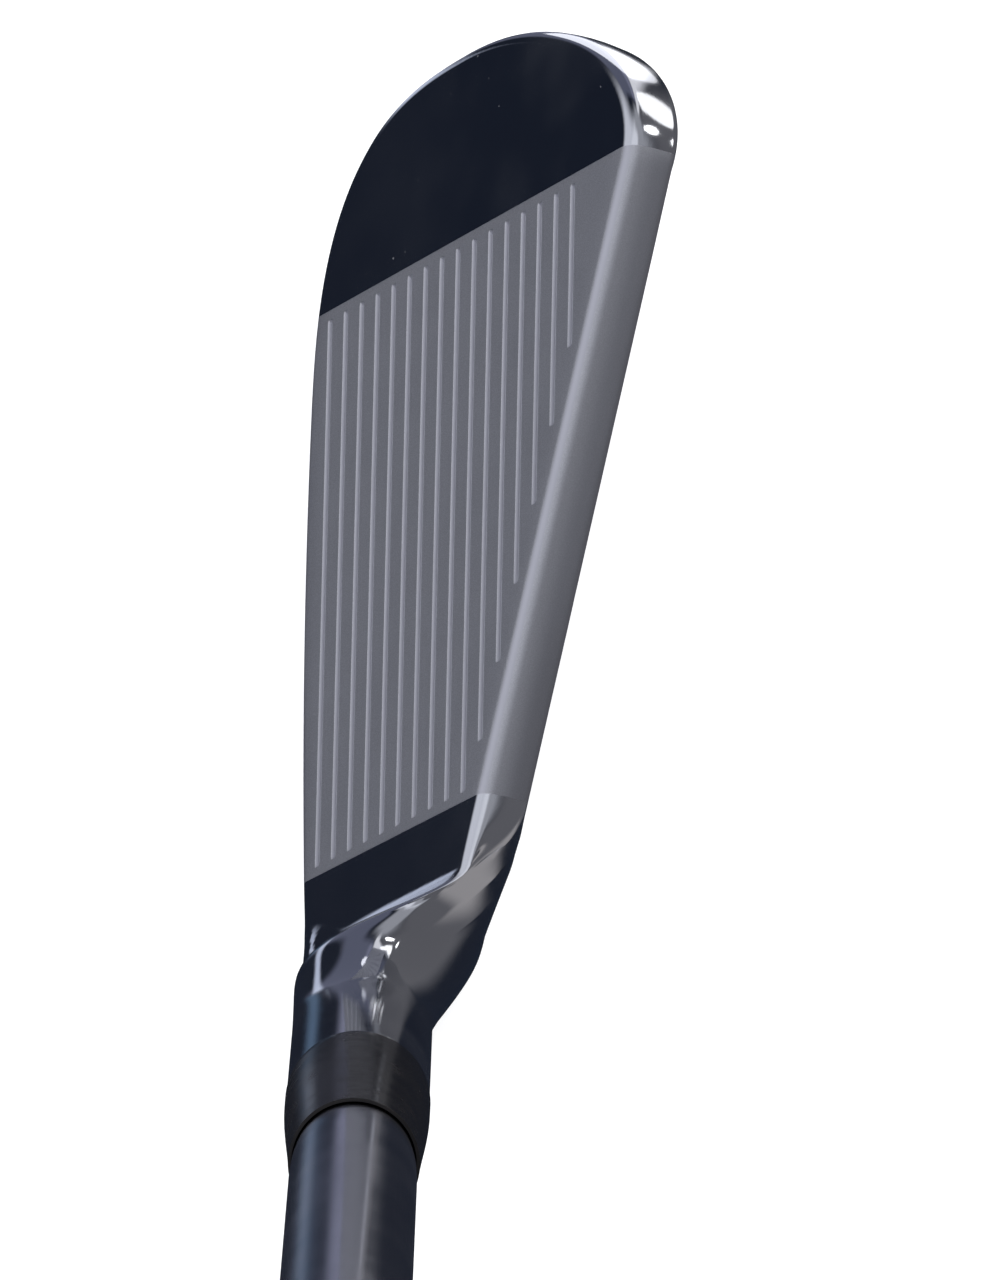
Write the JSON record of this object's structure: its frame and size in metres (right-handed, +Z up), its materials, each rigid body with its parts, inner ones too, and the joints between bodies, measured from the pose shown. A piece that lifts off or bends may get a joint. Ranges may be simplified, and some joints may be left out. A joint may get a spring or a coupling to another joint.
{
  "type": "golf iron",
  "caption": "Right-handed mid iron with a bladed cavity-back head, grooved face, tapered ferrule, stepped tubular shaft and tapered rubber grip.",
  "frame": {"origin": "point of the sole that touches the ground under the middle of the score lines, with the club at its address position", "axes": "+Z up from the ground, +Y from heel to toe along the score lines, +X away from the target, so the face looks toward -X"},
  "size_m": [0.0406, 0.5274, 0.8395],
  "materials": {
    "head_steel": "mirror-polished toe and heel with a blasted satin band over the score lines and the top line",
    "tungsten": "satin",
    "damper_elastomer": "matte",
    "badge_nickel": "brushed",
    "shaft_chrome": "bright plated",
    "ferrule_plastic": "semi-gloss black",
    "brass": "as turned",
    "shaft_foil": "printed foil with plain stripes",
    "grip_tape": "paper backed adhesive tape",
    "grip_rubber": "matte moulded texture",
    "cap_rubber": "smooth moulded"
  },
  "bodies": {
    "root": {"head_body": "head_steel", "toe_weight": "tungsten", "cavity_damper": "damper_elastomer", "cavity_badge": "badge_nickel", "shaft": "shaft_chrome", "ferrule": "ferrule_plastic", "tip_weight": "brass", "shaft_band": "shaft_foil", "grip_tape": "grip_tape", "grip_sleeve": "grip_rubber", "grip_cap": "cap_rubber"}
  },
  "joints": []
}
